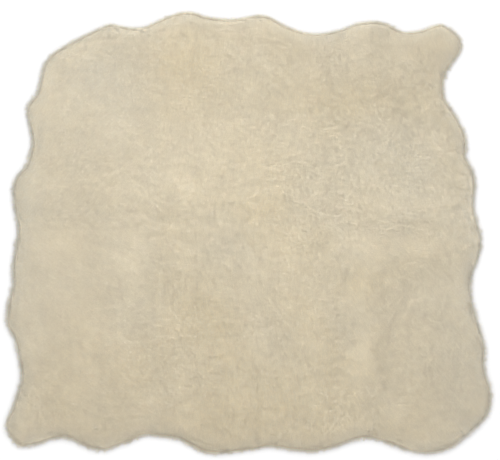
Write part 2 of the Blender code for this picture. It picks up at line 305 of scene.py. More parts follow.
@dataclass(frozen=True)
class WoolFinish:
    """Undyed ivory wool: creamier at the roots and in warm patches, paler at the tips.

    Attributes:
        root: Colour at a lock's root.
        tip: Colour at its tip.
        warm: Colour at the tips where the wool is warmest.
        cool: Colour at the tips where it is greyest.
        tip_rise: How soon the tip's colour sets in over the root. Less is sooner.
        patches: Size of the broad patches and of the fine ones, and the share of the fine.
        levels: Brightness of the darkest patch and of the palest.
        lock_level: How far one lock's brightness strays from 1.
        streak: How far the streaks along the nap stray from 1.
        fibre: How far the fibres of a lock stray from 1.
        fibres: How many fibres a lock shows across it and along it.
        apart: How differently the fibres of two locks can lie.
        bump: Strength and depth of the fibres' relief.
        roughness: Mean roughness of the fibres.
        roughness_range: How far the patches' roughness strays from that.
        sheen: Weight of the sheen.
        softness: How far the shading follows the pile as a whole and not each lock.
        painted_light_below: Painted light starts below this height over the floor, on the low wool of the
            rim, which lies in shade.
        painted_light_full_at: The painted light is strongest from this height down.
        low_painted_light: How much paler the painted light makes that low wool, as a share.
        glow: How deep light scatters in the wool. It doesn't where this is 0.
        lighter: Painted light: how much paler the whole finish is, as a share; the loose fringe takes it for
            the shade it lies in.
    """

    root: Colour = (0.652, 0.580, 0.437)
    tip: Colour = (0.700, 0.630, 0.490)
    warm: Colour = (0.72, 0.62, 0.43)
    cool: Colour = (0.69, 0.655, 0.56)
    tip_rise: float = 0.35
    patches: tuple[float, float, float] = (110 * MM, 30 * MM, 0.3)
    levels: tuple[float, float] = (0.915, 1.025)
    lock_level: float = 0.03
    streak: float = 0.05
    fibre: float = 0.05
    fibres: tuple[float, float] = (11, 2)
    apart: float = 50.0
    bump: tuple[float, float] = (0.35, 0.4 * MM)
    roughness: float = 0.9
    roughness_range: float = 0.06
    sheen: float = 0.3
    softness: float = 0.95
    painted_light_below: float = 16 * MM
    painted_light_full_at: float = 9 * MM
    low_painted_light: float = 0.42
    glow: float = 3 * MM
    lighter: float = 0.0

    def material(self, finishes: Finishes, name: str) -> bpy.types.Material:
        """Builds the wool's material.

        Args:
            finishes: What the materials share.
            name: The material's name.

        Returns:
            The material.
        """
        material, graph, shader = finishes.start(name, {
            "Sheen Weight": self.sheen,
            "Sheen Roughness": 0.5,
            "Sheen Tint": (1.0, 0.96, 0.88, 1.0),
            "Specular IOR Level": 0.25,
            "Subsurface Weight": 1.0 if self.glow else 0.0,
            "Subsurface Radius": (1.0, 0.9, 0.75),
            "Subsurface Scale": self.glow,
        })
        shader.subsurface_method = "BURLEY"
        shade = graph.carried("shade")
        uneven = finishes.uneven(graph, *self.patches)
        rough = graph.ranged(uneven, 0.0, 1.0, self.roughness - self.roughness_range,
                             self.roughness + self.roughness_range)
        graph.link(rough, shader, "Roughness")
        colour = graph.scaled(self.hue(graph), self.level(graph, uneven, shade))
        streak = graph.cloud(graph.carried("combed", "Vector"), 1.0, 3.0, 0.6)
        colour = graph.scaled(colour, graph.around_one(streak, self.streak))
        strands = graph.add("ShaderNodeUVMap", uv_map="strands").outputs[0]
        own = graph.joined(z=graph.maths("MULTIPLY", shade, self.apart))
        strands = graph.vectors("ADD", graph.vectors("MULTIPLY", strands, (*self.fibres, 1)), own)
        fibre = graph.cloud(strands, 1.0, 2.0, 0.6)
        colour = graph.scaled(colour, graph.around_one(fibre, self.fibre))
        graph.link(colour, shader, "Base Color")
        graph.bumped(shader, fibre, self.bump, Normal=self.soft_normal(graph))
        return material

    def hue(self, graph: Graph) -> Socket:
        """The wool's colour from root to tip, warmer or cooler from place to place."""
        warmth = graph.carried("warmth")
        hue = graph.blended(graph.ranged(warmth, 0.0, 1.0, 0.0, 1.0), self.tip, self.warm)
        hue = graph.blended(graph.ranged(warmth, -1.0, 0.0, 1.0, 0.0), hue, self.cool)
        return graph.blended(graph.maths("POWER", graph.carried("tip"), self.tip_rise), self.root, hue)

    def level(self, graph: Graph, uneven: Socket, shade: Socket) -> Socket:
        """The wool's brightness, with painted light on the low wool of the rim.

        Args:
            graph: The material's graph.
            uneven: The patches' factor.
            shade: Each lock's own random number.

        Returns:
            A factor for the colour.
        """
        height = graph.parts(graph.place())["Z"]
        # Painted light on the low wool of the rim, which lies in shade.
        thin = graph.ranged(height, self.painted_light_full_at, self.painted_light_below, 1 + self.low_painted_light, 1.0)
        level = graph.maths("MULTIPLY", graph.ranged(uneven, 0.0, 1.0, *self.levels),
                            graph.ranged(shade, 0.0, 1.0, 1 - self.lock_level, 1 + self.lock_level))
        # The pale attribute's tone with its painted light and shade, plus the painted light on the whole
        # finish.
        pale = graph.maths("ADD", graph.carried("pale"), 1.0 + self.lighter)
        return graph.maths("MULTIPLY", graph.maths("MULTIPLY", level, thin), pale)

    def soft_normal(self, graph: Graph) -> Socket:
        """The normal of the pile as a whole, with a little of each lock's own."""
        own = graph.add("ShaderNodeNewGeometry").outputs["Normal"]
        inputs = {"Factor": self.softness, 4: own, 5: graph.carried("pile_way", "Vector")}
        soft = graph.add("ShaderNodeMix", inputs, data_type="VECTOR").outputs[1]
        return graph.vectors("NORMALIZE", soft)


@dataclass(frozen=True)
class SuedeFinish:
    """The hides' flesh side: tanned buff suede with a fine nap, paler scrapes and darker veins.

    Attributes:
        buff: Its main colour.
        pale: Colour of the scrapes.
        vein: Colour of the veins.
        patches: Size of the broad patches and of the fine ones, and the share of the fine.
        vein_spacing: Distance from one vein to the next.
        vein_width: How much of the noise between two veins is vein.
        vein_share: How much of their colour the veins show.
        nap_size: Size of the nap's grain.
        patch_relief: How high the patches stand beside the nap.
        roughness: Least and most roughness.
        bump: Strength and depth of the relief.
    """

    buff: Colour = (0.60, 0.47, 0.32)
    pale: Colour = (0.70, 0.59, 0.44)
    vein: Colour = (0.47, 0.34, 0.22)
    patches: tuple[float, float, float] = (160 * MM, 30 * MM, 0.35)
    vein_spacing: float = 70 * MM
    vein_width: float = 0.03
    vein_share: float = 0.16
    nap_size: float = 0.8 * MM
    patch_relief: float = 0.8
    roughness: tuple[float, float] = (0.78, 0.95)
    bump: tuple[float, float] = (0.5, 0.3 * MM)

    def material(self, finishes: Finishes) -> bpy.types.Material:
        """Builds the suede's material."""
        material, graph, shader = finishes.start("suede", {
            "Sheen Weight": 0.2,
            "Sheen Roughness": 0.6,
            "Specular IOR Level": 0.2,
        })
        uneven = finishes.uneven(graph, *self.patches)
        colour = graph.blended(uneven, self.buff, self.pale)
        place = graph.place()
        inputs = {"Vector": place, "Scale": 1 / self.vein_spacing, "Detail": 4.0, "Distortion": 1.5}
        branches = graph.add("ShaderNodeTexNoise", inputs).outputs[0]
        ridge = graph.maths("ABSOLUTE", graph.maths("SUBTRACT", branches, 0.5))
        veins = graph.ranged(ridge, 0.0, self.vein_width, self.vein_share, 0.0)
        graph.link(graph.blended(veins, colour, self.vein), shader, "Base Color")
        graph.link(graph.ranged(uneven, 0.0, 1.0, *self.roughness), shader, "Roughness")
        nap = graph.cloud(place, 1 / self.nap_size, 3.0)
        height = graph.maths("ADD", nap, graph.maths("MULTIPLY", uneven, self.patch_relief))
        graph.bumped(shader, height, self.bump)
        return material


@dataclass(frozen=True)
class ThreadFinish:
    """Waxed ecru sewing thread with a visible twist.

    Attributes:
        ecru: Its main colour.
        dark: Painted shade: the colour between the twisted strands.
        twist_pitch: Distance from one turn of the twist to the next.
        wear: Size of the broad patches and of the fine ones, and the share of the fine.
        roughness: Least and most roughness.
        bump: Strength and depth of the twist's relief.
    """

    ecru: Colour = (0.72, 0.64, 0.48)
    dark: Colour = (0.55, 0.46, 0.31)
    twist_pitch: float = 1.1 * MM
    wear: tuple[float, float, float] = (40 * MM, 6 * MM, 0.5)
    roughness: tuple[float, float] = (0.5, 0.75)
    bump: tuple[float, float] = (0.6, 0.1 * MM)

    def material(self, finishes: Finishes) -> bpy.types.Material:
        """Builds the thread's material."""
        material, graph, shader = finishes.start("thread", {"Coat Weight": 0.1})
        inputs = {"Vector": graph.place(), "Scale": 1 / self.twist_pitch, "Distortion": 2.0}
        twist = graph.add("ShaderNodeTexWave", inputs, bands_direction="DIAGONAL").outputs["Fac"]
        # Painted shade between the twisted strands, deeper in the worn patches, which are rougher too.
        groove_shade_and_wear = graph.maths("MULTIPLY", twist, finishes.uneven(graph, *self.wear))
        graph.link(graph.blended(groove_shade_and_wear, self.ecru, self.dark), shader, "Base Color")
        graph.link(graph.ranged(groove_shade_and_wear, 0.0, 1.0, *self.roughness), shader, "Roughness")
        graph.bumped(shader, twist, self.bump)
        return material


@dataclass(frozen=True)
class FloorFinish:
    """A plain, nearly white matt floor.

    Attributes:
        white: Its colour.
        shadow: Brightness of its darkest patches beside that.
        patches: Size of the broad patches and of the fine ones, and the share of the fine.
        roughness: Least and most roughness.
    """

    white: Colour = (0.76, 0.76, 0.76)
    shadow: float = 0.99
    patches: tuple[float, float, float] = (2.0, 0.4, 0.3)
    roughness: tuple[float, float] = (0.8, 0.9)

    def material(self, finishes: Finishes) -> bpy.types.Material:
        """Builds the floor's material."""
        material, graph, shader = finishes.start("floor", {"Specular IOR Level": 0.1})
        uneven = finishes.uneven(graph, *self.patches)
        shadow = tuple(level * self.shadow for level in self.white)
        graph.link(graph.blended(uneven, self.white, shadow), shader, "Base Color")
        graph.link(graph.ranged(uneven, 0.0, 1.0, *self.roughness), shader, "Roughness")
        return material


# ---------------------------------------------------------------- the plan of the rug


@dataclass(frozen=True)
class Patch:
    """A round area of the rug where something is stronger, fading out from its middle.

    Attributes:
        x: Middle, in metres.
        y: Middle, in metres.
        wide: Reach along X, in metres.
        deep: Reach along Y, in metres.
        amount: What it adds in its middle.
    """

    x: float
    y: float
    wide: float
    deep: float
    amount: float

    def at(self, point: Vector) -> float:
        """What the patch adds at a point."""
        reach = ((point.x - self.x) / self.wide) ** 2 + ((point.y - self.y) / self.deep) ** 2
        return self.amount * math.exp(-reach)


def total(patches: tuple[Patch, ...], point: Vector) -> float:
    """What all the patches add at a point."""
    return sum(patch.at(point) for patch in patches)


@dataclass
class Line:
    """Close points on some line in plan, each with a direction, found by the nearest one."""

    points: list[Vector] = field(default_factory=list)
    ways: list[Vector] = field(default_factory=list)
    tree: KDTree | None = None

    def add(self, start: Vector, end: Vector, way: Vector, step: float = 3 * MM) -> None:
        """Adds points along a straight stretch, each with the same direction."""
        count = max(1, math.ceil((end - start).length / step))
        for i in range(count + 1):
            self.points.append(start.lerp(end, i / count))
            self.ways.append(way)

    def near(self, point: Vector) -> tuple[float, Vector, Vector]:
        """Finds the nearest point of the line.

        Args:
            point: Any point. Its height is ignored.

        Returns:
            The distance to it, the point itself and its direction.
        """
        if self.tree is None:
            self.tree = KDTree(len(self.points))
            for i, place in enumerate(self.points):
                self.tree.insert(place, i)
            self.tree.balance()
        place, i, distance = self.tree.find((point.x, point.y, 0))
        return distance, place, self.ways[i]


def flat(point: Vector) -> Vector:
    """The point's place in plan."""
    return Vector((point.x, point.y, 0))


def fade(distance: float, reach: float) -> float:
    """Falls smoothly from 1 on a line to 0 at some reach from it."""
    share = min(1.0, max(0.0, 1 - distance / reach))
    return share * share * (3 - 2 * share)


@dataclass
class Plan:
    """Where the rug's rim, seams and creases run, and how its wool differs from place to place.

    Attributes:
        top_floor: Faces of a solid with all their corners above this height are its wool's top.
        sewn_within: How near another skin's edge point lies where two skins are sewn together.
        rim: The rug's outer edge, with the way in from it.
        seams: Where skins are sewn together, with the way along.
        creases: The main creases, with the way along.
        tops: The top of each skin's wool, by node.
        sewn: The stretches of each seam, by the nodes on its two sides.
    """

    top_floor: float = 11 * MM
    sewn_within: float = 1.2 * MM
    rim: Line = field(default_factory=Line)
    seams: Line = field(default_factory=Line)
    creases: Line = field(default_factory=Line)
    tops: dict[str, BMesh] = field(default_factory=dict)
    sewn: dict[tuple[str, str], list[tuple[Vector, Vector]]] = field(default_factory=dict)

    # Which way the whole rug's nap is brushed, in degrees from +X towards +Y.
    NAP = 255

    # The main creases, as the points that each passes through, in millimetres.
    CREASE_KNOTS = (
        ((-494, 507), (-450, 497), (-410, 470), (-335, 448)),
        ((-716, 100), (-680, 74), (-653, 66), (-579, 92)),
        ((-98, 455), (-50, 436), (0, 440), (60, 420), (135, 425)),
        ((98, 203), (30, 170), (-31, 122)),
        ((-224, -55), (-205, -100), (-196, -150), (-187, -248)),
        ((-372, -211), (-350, -250), (-327, -292)),
        ((-501, -377), (-400, -372), (-300, -384), (-190, -380), (-80, -372), (142, -377)),
        ((653, -692), (700, -650), (771, -599)),
        ((-309, -414), (-215, -440), (-124, -455)),
        ((690, -451), (780, -448), (860, -455)),
        ((745, 111), (790, 116), (820, 108)),
    )

    # Warmer, yellower wool is above 0 and greyer wool below.
    TINTS = (
        Patch(-0.21, 0.60, 0.13, 0.13, 0.8),
        Patch(0.41, 0.50, 0.24, 0.08, 0.7),
        Patch(0.03, 0.10, 0.10, 0.08, 0.7),
        Patch(0.23, -0.06, 0.12, 0.12, 0.6),
        Patch(0.41, -0.19, 0.08, 0.07, 0.8),
        Patch(-0.20, -0.30, 0.10, 0.12, 0.6),
        Patch(-0.05, -0.70, 0.35, 0.12, 0.5),
        Patch(-0.62, 0.55, 0.18, 0.16, -0.7),
        Patch(-0.84, -0.05, 0.10, 0.55, -0.6),
        Patch(0.56, 0.23, 0.16, 0.14, -0.6),
        Patch(0.82, -0.30, 0.12, 0.50, -0.6),
        Patch(-0.55, -0.15, 0.25, 0.20, -0.1),
        Patch(-0.45, -0.55, 0.55, 0.40, 0.55),
        Patch(0.35, -0.60, 0.50, 0.35, 0.45),
    )

    # How much paler the wool is than elsewhere, as a share, or darker below 0: partly the wool's own uneven
    # tone and partly painted light and shade, where the paler middle and back and the darker front band
    # paint how the light falls across the rug.
    PALES = (
        Patch(-0.07, 0.22, 0.63, 0.33, 0.07),
        Patch(-0.18, -0.77, 0.96, 0.22, -0.05),
        Patch(0.45, 0.55, 0.26, 0.19, -0.08),
        Patch(-0.73, 0.57, 0.15, 0.22, 0.08),
        Patch(0.43, -0.32, 0.13, 0.22, -0.06),
        Patch(-0.62, -0.02, 0.35, 0.13, -0.045),
        Patch(0.75, -0.55, 0.22, 0.33, -0.045),
        Patch(-0.05, 0.78, 0.75, 0.10, 0.04),
        Patch(0.64, -0.03, 0.20, 0.16, -0.03),
        Patch(-0.58, -0.62, 0.25, 0.20, -0.035),
    )

    # Wool that curls and clumps more.
    CURLS = (
        Patch(0.66, -0.28, 0.24, 0.42, 0.45),
        Patch(-0.23, -0.28, 0.12, 0.13, 0.4),
        Patch(0.14, -0.68, 0.50, 0.15, 0.45),
        Patch(0.70, 0.36, 0.14, 0.30, 0.3),
        Patch(0.22, 0.22, 0.14, 0.20, 0.15),
        Patch(-0.20, 0.31, 0.26, 0.28, -0.35),
        Patch(-0.60, -0.70, 0.25, 0.14, 0.3),
    )

    def read(self) -> None:
        """Reads the rim, the seams and the tops of the wool from the frame's solids."""
        for node, solid in sorted(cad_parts.items()):
            top = bmesh.new()
            top.from_mesh(solid.data)
            bmesh.ops.remove_doubles(top, verts=top.verts, dist=NO_GAP)
            low = [face for face in top.faces if min(v.co.z for v in face.verts) < self.top_floor]
            bmesh.ops.delete(top, geom=low, context="FACES")
            self.tops[node] = top
        edges = {node: [v.co for v in top.verts if v.is_boundary] for node, top in self.tops.items()}
        for node, top in self.tops.items():
            others = [(flat(point), other) for other in edges if other != node for point in edges[other]]
            tree = KDTree(len(others))
            for i, (point, _) in enumerate(others):
                tree.insert(point, i)
            tree.balance()
            self.sort_edges(node, top, others, tree)
        for knots in self.CREASE_KNOTS:
            points = [Vector((x * MM, y * MM, 0)) for x, y in knots]
            for start, end in zip(points, points[1:]):
                self.creases.add(start, end, (end - start).normalized())

    def sort_edges(self, node: str, top: BMesh, others: list[tuple[Vector, str]], tree: KDTree) -> None:
        """Sorts one skin's outer edges into rim and seam.

        Args:
            node: The skin's node.
            top: The top of its wool.
            others: The edge points of the other skins, each with its skin's node.
            tree: The same points, to find the nearest.
        """
        for edge in (e for e in top.edges if e.is_boundary):
            start, end = (flat(v.co) for v in edge.verts)
            along = (end - start).normalized()
            way_in = Vector((-along.y, along.x, 0))
            if way_in.dot(flat(edge.link_faces[0].calc_center_median()) - start) < 0:
                way_in.negate()
            found = [tree.find(point) for point in (start, end)]
            if all(distance < self.sewn_within for _, _, distance in found):
                self.seams.add(start, end, along)
                other = others[tree.find((start + end) / 2)[1]][1]
                if node < other:
                    middles = [point.lerp(near, 0.5) for point, (near, _, _) in zip((start, end), found)]
                    self.sewn.setdefault((node, other), []).append(tuple(middles))
            else:
                self.rim.add(start, end, way_in)


def edge_loop(bm: BMesh) -> list[Vector]:
    """Follows the outer edge of an open mesh.

    Args:
        bm: The mesh, with one edge loop round it.

    Returns:
        The loop's points in order, anticlockwise as seen from above.
    """
    following = {}
    for edge in (e for e in bm.edges if e.is_boundary):
        for vert in edge.verts:
            following.setdefault(vert, []).append(edge.other_vert(vert))
    start = vert = next(iter(following))
    before = None
    points = []
    while True:
        points.append(vert.co.copy())
        onward = [other for other in following[vert] if other is not before]
        before, vert = vert, onward[0]
        if vert is start:
            break
    doubled = sum(a.x * b.y - b.x * a.y for a, b in zip(points, points[1:] + points[:1]))
    return points if doubled > 0 else points[::-1]


# ---------------------------------------------------------------- one skin


@dataclass
class Skin:
    """One sheepskin: its underwool, its locks and fringe, and its hide.

    Attributes:
        node: The CAD node that it stands for.
        nap: Which way its wool lies, in degrees from +X towards +Y.
        combing: Which way its fine streaks run, in degrees from +X towards +Y.
        tint: How much warmer than the others its wool is.
        seed: What its random growth starts from.
    """

    node: str
    nap: float
    combing: float
    tint: float
    seed: int

    # Heights over the floor.
    hide_top: float = 2.1 * MM  # where the wool starts
    pile: float = 20.3 * MM  # where it ends, away from seams and the rim
    rim_top: float = 12 * MM  # where it ends at the rim
    shoulder: float = 15 * MM  # how far in from the rim it has nearly its full height
    shoulder_drop: float = 1.8 * MM  # how much that height still is under the full one
    shoulder_width: float = 19 * MM  # how much further in it is full
    rim_fill: float = 3.6 * MM  # how much of the solid's rolled rim the wool fills
    rim_roll: float = 15 * MM  # width of that roll
    seam_flat: float = 8 * MM  # width beside a seam where the solid's trough is filled
    seam_fill: float = 22 * MM  # how far past that the filling fades out
    crease_fill: float = 0.6  # how much of the trough at a crease is filled
    crease_width: float = 26 * MM

    # The underwool.
    subdivisions: int = 2
    evenings: int = 2  # how many times its corners are evened out
    evening: float = 0.4  # how far each time
    underwool_share: float = 0.85  # how much of the wool's depth it takes
    clump_size: float = 24 * MM
    lump_rise: float = 1.0 * MM
    lump_clear: float = 20 * MM  # how far in from the rim the lumps have their full rise
    rim_setback: float = 2 * MM  # how far in from the solid's rim its own rim is
    setback_reach: float = 40 * MM
    at_rim: float = 7 * MM  # edges this near the rim belong to it
    seam_meet: float = 0.1 * MM  # how far two sewn skins reach towards each other
    lip_reach: float = 3.5 * MM  # how far the underwool of sewn skins mingles
    lip_drop: float = 0.4 * MM
    side_spread: float = 5 * MM  # how far the foot of the rim's side stands out past its top
    rim_round: float = 3.5 * MM  # how far the rounding of the rim's edge goes down
    round_share: float = 0.5  # how much of the side's spread and rise the rounding has
    side_band: float = 14 * MM  # seams end this far from the rim
    rim_edge: float = 3 * MM  # an edge of the top this near the rim isn't on a seam
    steep: float = 0.5  # the normal's Z of a steep face is under this, up or down

    # How the locks stand and lie.
    least_rise: float = 1.6 * MM
    side_rise: float = 4.5 * MM  # how far locks stand out of the side of the rim
    side_lean: float = 2 * MM
    lean: float = 5.5 * MM  # how far a lock's tip lies past its root
    turn_size: float = 160 * MM  # size of the areas where the nap turns to one side
    turn_most: float = 70  # how far it can turn, in degrees
    brushed_reach: float = 170 * MM  # how far from a seam the nap of both skins is brushed one way
    rim_turn: float = 11 * MM  # how far in the rim turns the nap outwards
    rim_share: float = 0.8  # how far round the nap turns at the rim
    back_share: float = 0.65  # how much less it turns at the back rim
    parting_reach: float = 16 * MM  # how far from a crease the locks part
    parting_depth: float = 0.1  # how much shorter they are there
    parting_lean: float = 0.15  # how far they lie away from it, as a share of the lean
    curl_lean: float = 0.15  # how much more the locks lean where they curl
    seam_cover: float = 3.6 * MM  # how much further locks beside a seam lean over it
    cover_reach: float = 7 * MM
    fringe_reach: float = 7 * MM
    fringe_lean: float = 0.6  # how much of the wool's lean the fringe takes on
    curl_more: float = 1.2
    curl_least: float = 0.3

    # How the wool is coloured.
    drift_size: float = 200 * MM  # size of the areas of warmer and cooler wool
    drift_most: float = 0.5
    rim_cool: float = 0.7
    rim_reach: float = 60 * MM  # how far in from the rim the wool's colour turns cooler
    seam_pale: float = 0.025  # painted light: makes up for the light that wool loses where one skin's ends
    seam_pale_reach: float = 5 * MM
    back_shade: float = 0.09  # painted shade: how much darker the wool is painted along the back rim, where the lamp at the back lights it most
    back_reach: float = 18 * MM
    curl_pale: float = 0.04  # how much paler curled wool is
    slope_seen: float = 0.25  # how much of a slope the scattering wool lets show as shading
    lip_upright: float = 2.0  # how much more the rim's rounding seems to face up than out
    foot_upright: float = 1.6  # the same of the rim's foot
    streak_length: float = 36 * MM
    streak_width: float = 6 * MM
    strand_size: float = 6 * MM
    side_flap: float = 14 * MM  # room on the map for the side, round the top
    strip_fill: float = 0.98  # how much of its half of the strip each side of the underwool fills

    def name(self, part: str) -> str:
        """The name of one of this skin's pieces."""
        return self.node.replace("skin", part)

    def lean_at(self, point: Vector, plan: Plan) -> Vector:
        """Finds which way and how far the tips of the locks lie past their roots.

        Args:
            point: A point of the wool's top.
            plan: The rug's plan.

        Returns:
            The way from root to tip, level or nearly so.
        """
        own = noise.noise(point / self.turn_size + Vector((self.seed, 0, 0))) * math.radians(self.turn_most)
        common = noise.noise(point / self.turn_size) * math.radians(self.turn_most)
        own, common = (Vector((math.cos(angle), math.sin(angle), 0)) * self.lean
                       for angle in (math.radians(self.nap) + own, math.radians(plan.NAP) + common))
        to_seam, on_seam, _ = plan.seams.near(point)
        lean = own.lerp(common, fade(to_seam, self.brushed_reach))
        distance, _, way_in = plan.rim.near(point)
        turned = self.rim_share - self.back_share * max(0.0, -way_in.y)
        lean = lean.lerp(-way_in * self.lean, turned * fade(distance, self.rim_turn))
        distance, place, _ = plan.creases.near(point)
        away = (flat(point) - place) / max(distance, NO_DISTANCE)
        lean += away * self.lean * self.parting_lean * fade(distance, self.parting_reach)
        over = (on_seam - flat(point)) / max(to_seam, NO_DISTANCE)
        lean = lean * (1 + self.curl_lean * total(plan.CURLS, point))
        return lean + over * self.seam_cover * fade(to_seam, self.cover_reach)

    def full_height(self, rim_distance: float) -> float:
        """The height of the wool at some distance from the rim where no seam or crease crosses it."""
        if rim_distance < self.shoulder:
            rise = self.pile - (self.rim_top + self.shoulder_drop)
            return self.rim_top + rise * rim_distance / self.shoulder
        short = max(0.0, 1 - (rim_distance - self.shoulder) / self.shoulder_width)
        return self.pile - self.shoulder_drop * short

    def underwool(self, plan: Plan) -> bpy.types.Object:
        """Builds the dense underwool as a closed mesh that carries what the locks grow by.

        Args:
            plan: The rug's plan.

        Returns:
            An object that is linked to the scene while the locks are grown from it.
        """
        bm = plan.tops[self.node]
        bmesh.ops.subdivide_edges(bm, edges=bm.edges, cuts=self.subdivisions, use_grid_fill=True)
        for _ in range(self.evenings):
            inner = [v for v in bm.verts if not v.is_boundary]
            bmesh.ops.smooth_vert(bm, verts=inner, factor=self.evening, use_axis_z=True)
        layers = bm.verts.layers
        for key in ("rise", "curl", "warmth", "pale"):
            layers.float.new(key)
        for key in ("lean", "outward", "pile_way", "combed"):
            layers.float_vector.new(key)
        rise, lean = layers.float["rise"], layers.float_vector["lean"]
        outward, way = layers.float_vector["outward"], layers.float_vector["pile_way"]
        over_seam = self.outward_at_seams(bm, plan)
        for vert in bm.verts:
            point = vert.co.copy()
            rim_distance, _, way_in = plan.rim.near(point)
            crease_distance = plan.creases.near(point)[0]
            point.z += (self.full_height(rim_distance) - point.z) * self.filled(point, plan)
            point.z += self.rim_fill * max(0.0, 1 - rim_distance / self.rim_roll)
            height = self.underwool_height(point, rim_distance)
            vert.co = flat(point) + way_in * self.rim_setback * fade(rim_distance, self.setback_reach)
            vert.co += over_seam.get(vert, Vector()) * self.seam_meet
            vert.co.z = height
            parting = self.parting_depth * fade(crease_distance, self.parting_reach)
            vert[rise] = max(self.least_rise, point.z - height) * (1 - parting)
            vert[lean] = self.lean_at(point, plan)
            vert[outward] = -way_in * self.fringe_reach + vert[lean] * self.fringe_lean
            self.colour(vert, layers, point, plan)
        bm.normal_update()
        for vert in bm.verts:
            vert[way] = self.pile_way(vert.normal)
        self.close(bm, plan, over_seam)
        self.sort_faces(bm)
        mesh = mesh_of(bm, self.name("underwool"))
        if "custom_normal" in mesh.attributes:
            mesh.attributes.remove(mesh.attributes["custom_normal"])
        self.mark_faces(mesh, plan)
        self.map_faces(mesh)
        return placed(self.name("underwool"), mesh)

    def filled(self, point: Vector, plan: Plan) -> float:
        """How much of the way up to its full height the wool fills a trough of the solid."""
        at_seam = fade(plan.seams.near(point)[0] - self.seam_flat, self.seam_fill)
        return max(at_seam, self.crease_fill * fade(plan.creases.near(point)[0], self.crease_width))

    def underwool_height(self, point: Vector, rim_distance: float) -> float:
        """The height of the underwool, under the tips of the locks at a point."""
        lump = noise.noise(point / self.clump_size) * self.lump_rise
        lump *= min(1.0, rim_distance / self.lump_clear)
        return self.hide_top + (point.z - self.hide_top) * self.underwool_share + lump

    def colour(self, vert: BMVert, layers: Any, point: Vector, plan: Plan) -> None:
        """Stores what the wool's colour depends on.

        Args:
            vert: A corner of the underwool.
            layers: The layers of all the corners.
            point: The place over it on the wool's top.
            plan: The rug's plan.
        """
        curls = total(plan.CURLS, point)
        rim_distance, _, way_in = plan.rim.near(point)
        combing = heading(self.combing)
        vert[layers.float["curl"]] = max(self.curl_least, 1.0 + self.curl_more * curls)
        vert[layers.float_vector["combed"]] = (
            point.dot(combing) / self.streak_length, point.cross(combing).z / self.streak_width, self.seed)
        warmth = self.tint + noise.noise(point / self.drift_size) * self.drift_most
        warmth += total(plan.TINTS, point) - self.rim_cool * fade(rim_distance, self.rim_reach)
        vert[layers.float["warmth"]] = max(-1.0, min(1.0, warmth))
        # Painted light along the seams.
        pale = self.seam_pale * fade(plan.seams.near(point)[0], self.seam_pale_reach)
        # Painted shade along the back rim, against the lamp's light there.
        pale -= self.back_shade * max(0.0, -way_in.y) * fade(rim_distance, self.back_reach)
        pale += self.curl_pale * max(0.0, curls)
        # The patches add the wool's tone along with painted light and shade.
        vert[layers.float["pale"]] = total(plan.PALES, point) + pale

    def outward_at_seams(self, bm: BMesh, plan: Plan) -> dict[BMVert, Vector]:
        """Finds the outward direction at each corner of the wool's top that lies on a seam."""
        ways = {}
        for edge in (e for e in bm.edges if e.is_boundary):
            middle = flat((edge.verts[0].co + edge.verts[1].co) / 2)
            if plan.rim.near(middle)[0] < self.rim_edge:
                continue
            along = flat(edge.verts[1].co - edge.verts[0].co).normalized()
            way = Vector((-along.y, along.x, 0))
            if way.dot(flat(edge.link_faces[0].calc_center_median()) - middle) > 0:
                way.negate()
            for vert in edge.verts:
                ways[vert] = (ways.get(vert, Vector()) + way).normalized()
        return ways

    def pile_way(self, square: Vector) -> Vector:
        """Which way a wool surface seems to face, since scattered light evens its slopes out."""
        return Vector((square.x * self.slope_seen, square.y * self.slope_seen, square.z)).normalized()

    def extruded(self, bm: BMesh) -> dict[BMVert, BMVert]:
        """Extrudes the open edge in place and returns each new corner with the one it came from."""
        boundary = [e for e in bm.edges if e.is_boundary]
        sources = {v for e in boundary for v in e.verts}
        made = bmesh.ops.extrude_edge_only(bm, edges=boundary)["geom"]
        pairs = {}
        for vert in (item for item in made if isinstance(item, BMVert)):
            pairs[vert] = next(e.other_vert(vert) for e in vert.link_edges if e.other_vert(vert) in sources)
        return pairs

    def close(self, bm: BMesh, plan: Plan, over_seam: dict[BMVert, Vector]) -> None:
        """Adds the underwool's rounded lip, its side and its flat underside.

        Args:
            bm: The top of the underwool, which is closed in place.
            plan: The rug's plan.
            over_seam: The outward direction at each corner of the top that lies on a seam.
        """
        rise, pale = bm.verts.layers.float["rise"], bm.verts.layers.float["pale"]
        lean, way = (bm.verts.layers.float_vector[key] for key in ("lean", "pile_way"))
        under_wool = bm.faces.layers.float.new("lip")
        lip = self.extruded(bm)
        for vert, source in lip.items():
            distance, _, way_in = plan.rim.near(vert.co)
            if source in over_seam:
                vert.co += over_seam[source] * self.lip_reach
                vert.co.z = source.co.z - self.lip_drop
                for face in vert.link_faces:
                    face[under_wool] = 1.0
            if distance < self.at_rim:
                vert.co -= way_in * self.side_spread * self.round_share
                vert.co.z = source.co.z - self.rim_round
                vert[rise] = self.side_rise * self.round_share
                # The rim's lip carries no painted light or shade, and no patch tone.
                vert[pale] = 0.0
                vert[lean] = -way_in * self.side_lean
                vert[way] = self.pile_way(Vector((-way_in.x, -way_in.y, self.lip_upright)))
        sources = {vert: source.co.copy() for vert, source in lip.items()}
        hidden = {face for face in bm.faces if face[under_wool] > 0}
        for vert, middle in self.extruded(bm).items():
            distance, _, way_in = plan.rim.near(sources[middle])
            vert.co = sources[middle]
            if distance < self.at_rim:
                vert.co = sources[middle] - way_in * self.side_spread
